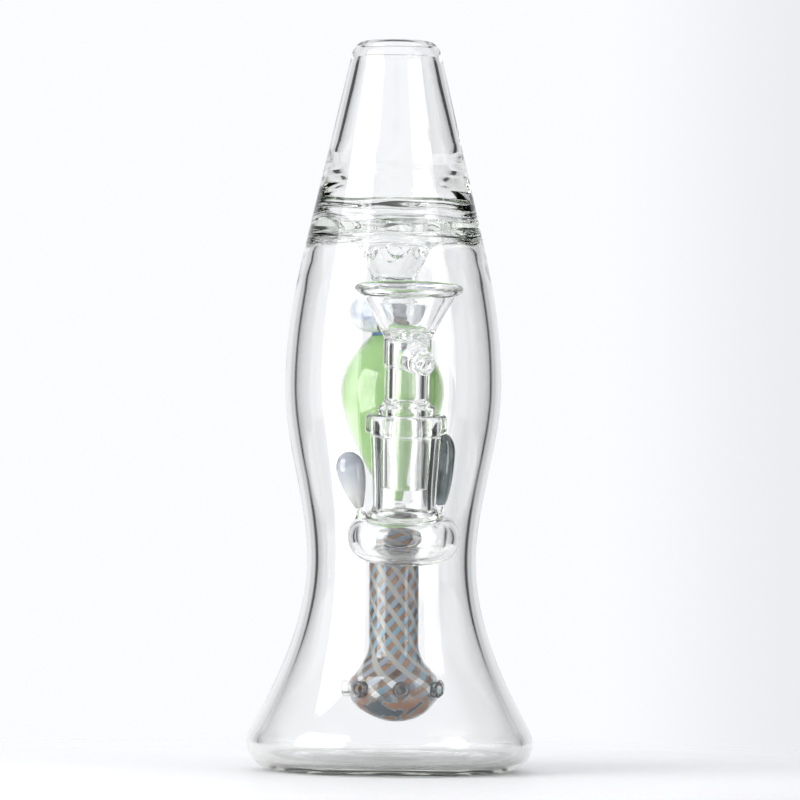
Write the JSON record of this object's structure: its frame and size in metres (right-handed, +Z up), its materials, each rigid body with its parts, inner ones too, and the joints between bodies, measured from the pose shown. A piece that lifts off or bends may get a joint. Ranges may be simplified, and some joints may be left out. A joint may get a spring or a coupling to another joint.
{
  "type": "glass water pipe",
  "caption": "Clear glass water pipe with a lava lamp outline: hollow flared vessel, splash guard, open mouth, ground joint with a lift-out bowl, coloured diffuser and teardrop inside.",
  "frame": {"origin": "centre of the flat foot ring, on the table", "axes": "+Z up along the vessel's axis to the mouth; the ground joint and bowl stand on the -Y side; +X to the right seen from the joint"},
  "size_m": [0.0782, 0.0992, 0.1994],
  "materials": {
    "clear_glass": "polished clear",
    "frosted_glass": "fine ground taper",
    "latticino_glass": "polished, crossed light blue and grey stripes over amber",
    "swirled_glass": "polished, swirled copper, blue and grey",
    "green_glass": "polished milky green",
    "blue_glass": "polished bright blue",
    "amber_glass": "polished amber and brown, speckled",
    "pale_blue_glass": "polished, cloudy pale blue",
    "grey_blue_glass": "polished grey-blue",
    "grey_green_glass": "polished grey-green with blue streaks"
  },
  "bodies": {
    "water_pipe": {"base_plate": "clear_glass", "foot_shell": "clear_glass", "body_shell": "clear_glass", "shoulder_shell": "clear_glass", "guard_disc": "clear_glass", "splash_funnel": "clear_glass", "neck_ring": "clear_glass", "neck_ridge": "clear_glass", "mouthpiece": "clear_glass", "mouth_lip": "clear_glass", "wall_weld": "clear_glass", "joint_bulb": "clear_glass", "joint_tube": "clear_glass", "joint_lip": "clear_glass", "cross_tube": "latticino_glass", "downstem": "latticino_glass", "diffuser_ball": "swirled_glass", "diffuser_nibs": "clear_glass", "drop_foot": "clear_glass", "green_drop": "green_glass", "blue_collar": "blue_glass", "marble_core": "amber_glass", "top_marble": "pale_blue_glass", "left_horn": "grey_blue_glass", "left_horn_foot": "clear_glass", "right_horn": "grey_green_glass", "right_horn_foot": "clear_glass"},
    "bowl": {"bowl_taper": "frosted_glass", "bowl_shoulder": "clear_glass", "bowl_stem": "clear_glass", "bowl_collar": "clear_glass", "bowl_cup": "clear_glass", "bowl_rim": "clear_glass", "bowl_handle": "clear_glass"}
  },
  "joints": [
    {"name": "bowl_lift", "type": "slide", "parent": "water_pipe", "child": "bowl", "axis": [0, -0.1392, 0.9903], "range_m": [0, 0.03]}
  ]
}
